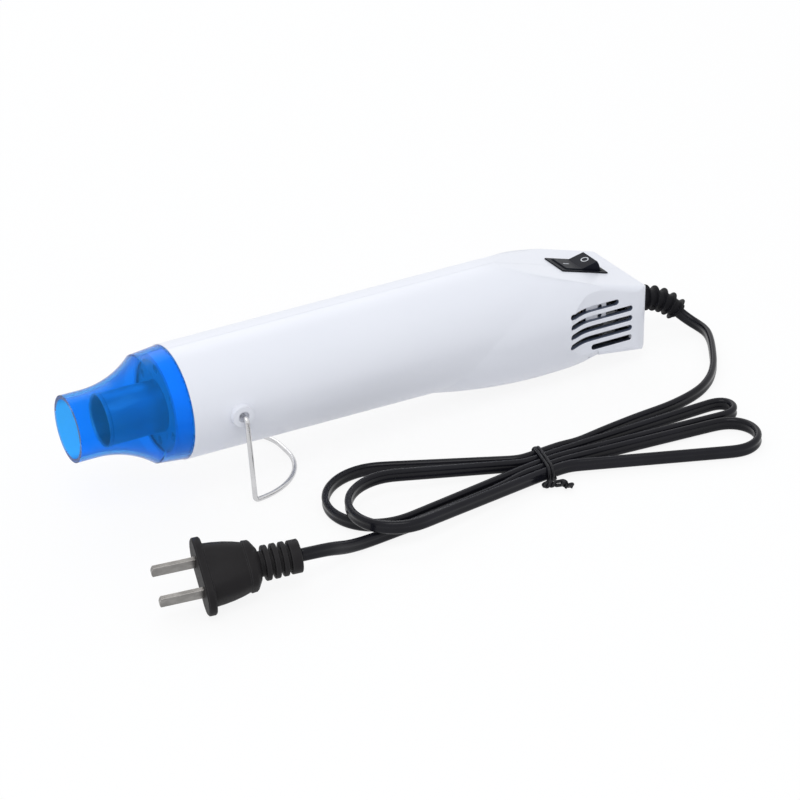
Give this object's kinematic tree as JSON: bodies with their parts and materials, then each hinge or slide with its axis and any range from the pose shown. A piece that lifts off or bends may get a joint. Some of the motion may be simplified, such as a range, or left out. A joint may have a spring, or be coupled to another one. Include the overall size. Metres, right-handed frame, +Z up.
{
  "type": "embossing heat tool",
  "caption": "Slim hand-held hot air tool with a clear blue nozzle cap, rocker switch, folding wire foot and a flat cord tied in a hank, ending in a mains plug.",
  "frame": {"origin": "on the floor, below the middle of the tool without its cord", "axes": "+X from the nozzle towards the switch end, +Z up, +Y towards the side away from the tied cord"},
  "size_m": [0.291, 0.139, 0.0614],
  "materials": {
    "left_shell": "satin moulded, cool white",
    "right_shell": "satin moulded, cool white",
    "nozzle_cap": "clear blue, glossy",
    "heat_tube": "thin rolled steel",
    "tube_holder": "heat resistant moulding",
    "mica_sleeve": "mica sheet",
    "heater_cards": "mica sheet",
    "heating_coil": "oxidised resistance wire",
    "thermal_cutout": "plain",
    "air_duct": "natural moulding",
    "fan": "natural moulding",
    "motor_shaft": "ground",
    "motor": "zinc plated can",
    "motor_mount": "natural moulding",
    "rectifier_board": "paper laminate board",
    "diodes": "moulded",
    "switch_frame": "bluish black, satin gloss",
    "switch_terminals": "plain",
    "rocker": "bluish black, satin gloss",
    "stand": "bright drawn wire",
    "strain_relief": "satin black",
    "cord_clamp": "natural moulding",
    "clamp_screws": "zinc plated",
    "housing_screws": "zinc plated",
    "lead_wires": "insulated wire",
    "cord_lead": "satin black",
    "cord_hank": "satin black",
    "cord_tail": "satin black",
    "twist_tie": "plastic coated wire",
    "plug_body": "satin moulded, near black",
    "plug_blades": "nickel plated"
  },
  "bodies": {
    "housing": {"left_shell": "left_shell", "right_shell": "right_shell", "nozzle_cap": "nozzle_cap", "heat_tube": "heat_tube", "tube_holder": "tube_holder", "mica_sleeve": "mica_sleeve", "heater_cards": "heater_cards", "heating_coil": "heating_coil", "thermal_cutout": "thermal_cutout", "air_duct": "air_duct", "motor": "motor", "motor_mount": "motor_mount", "rectifier_board": "rectifier_board", "diodes": "diodes", "switch_frame": "switch_frame", "switch_terminals": "switch_terminals", "strain_relief": "strain_relief", "cord_clamp": "cord_clamp", "clamp_screws": "clamp_screws", "housing_screws": "housing_screws", "lead_wires": "lead_wires", "cord_lead": "cord_lead", "cord_hank": "cord_hank", "cord_tail": "cord_tail", "twist_tie": "twist_tie", "plug_body": "plug_body", "plug_blades": "plug_blades"},
    "stand": {"stand": "stand"},
    "rocker": {"rocker": "rocker"},
    "rotor": {"fan": "fan", "motor_shaft": "motor_shaft"}
  },
  "joints": [
    {"name": "stand_fold", "type": "hinge", "parent": "housing", "child": "stand", "pos_m": [-0.06482, 0, 0.0373], "axis": [0, 1, 0], "range_deg": [-12, 95]},
    {"name": "rocker_tilt", "type": "hinge", "parent": "housing", "child": "rocker", "pos_m": [0.1021, 0, 0.03937], "axis": [0, 1, 0], "range_deg": [0, 28]},
    {"name": "fan_spin", "type": "hinge", "parent": "housing", "child": "rotor", "pos_m": [0.04295, 0, 0.03191], "axis": [0.9988, 0, -0.0499], "continuous": true}
  ]
}
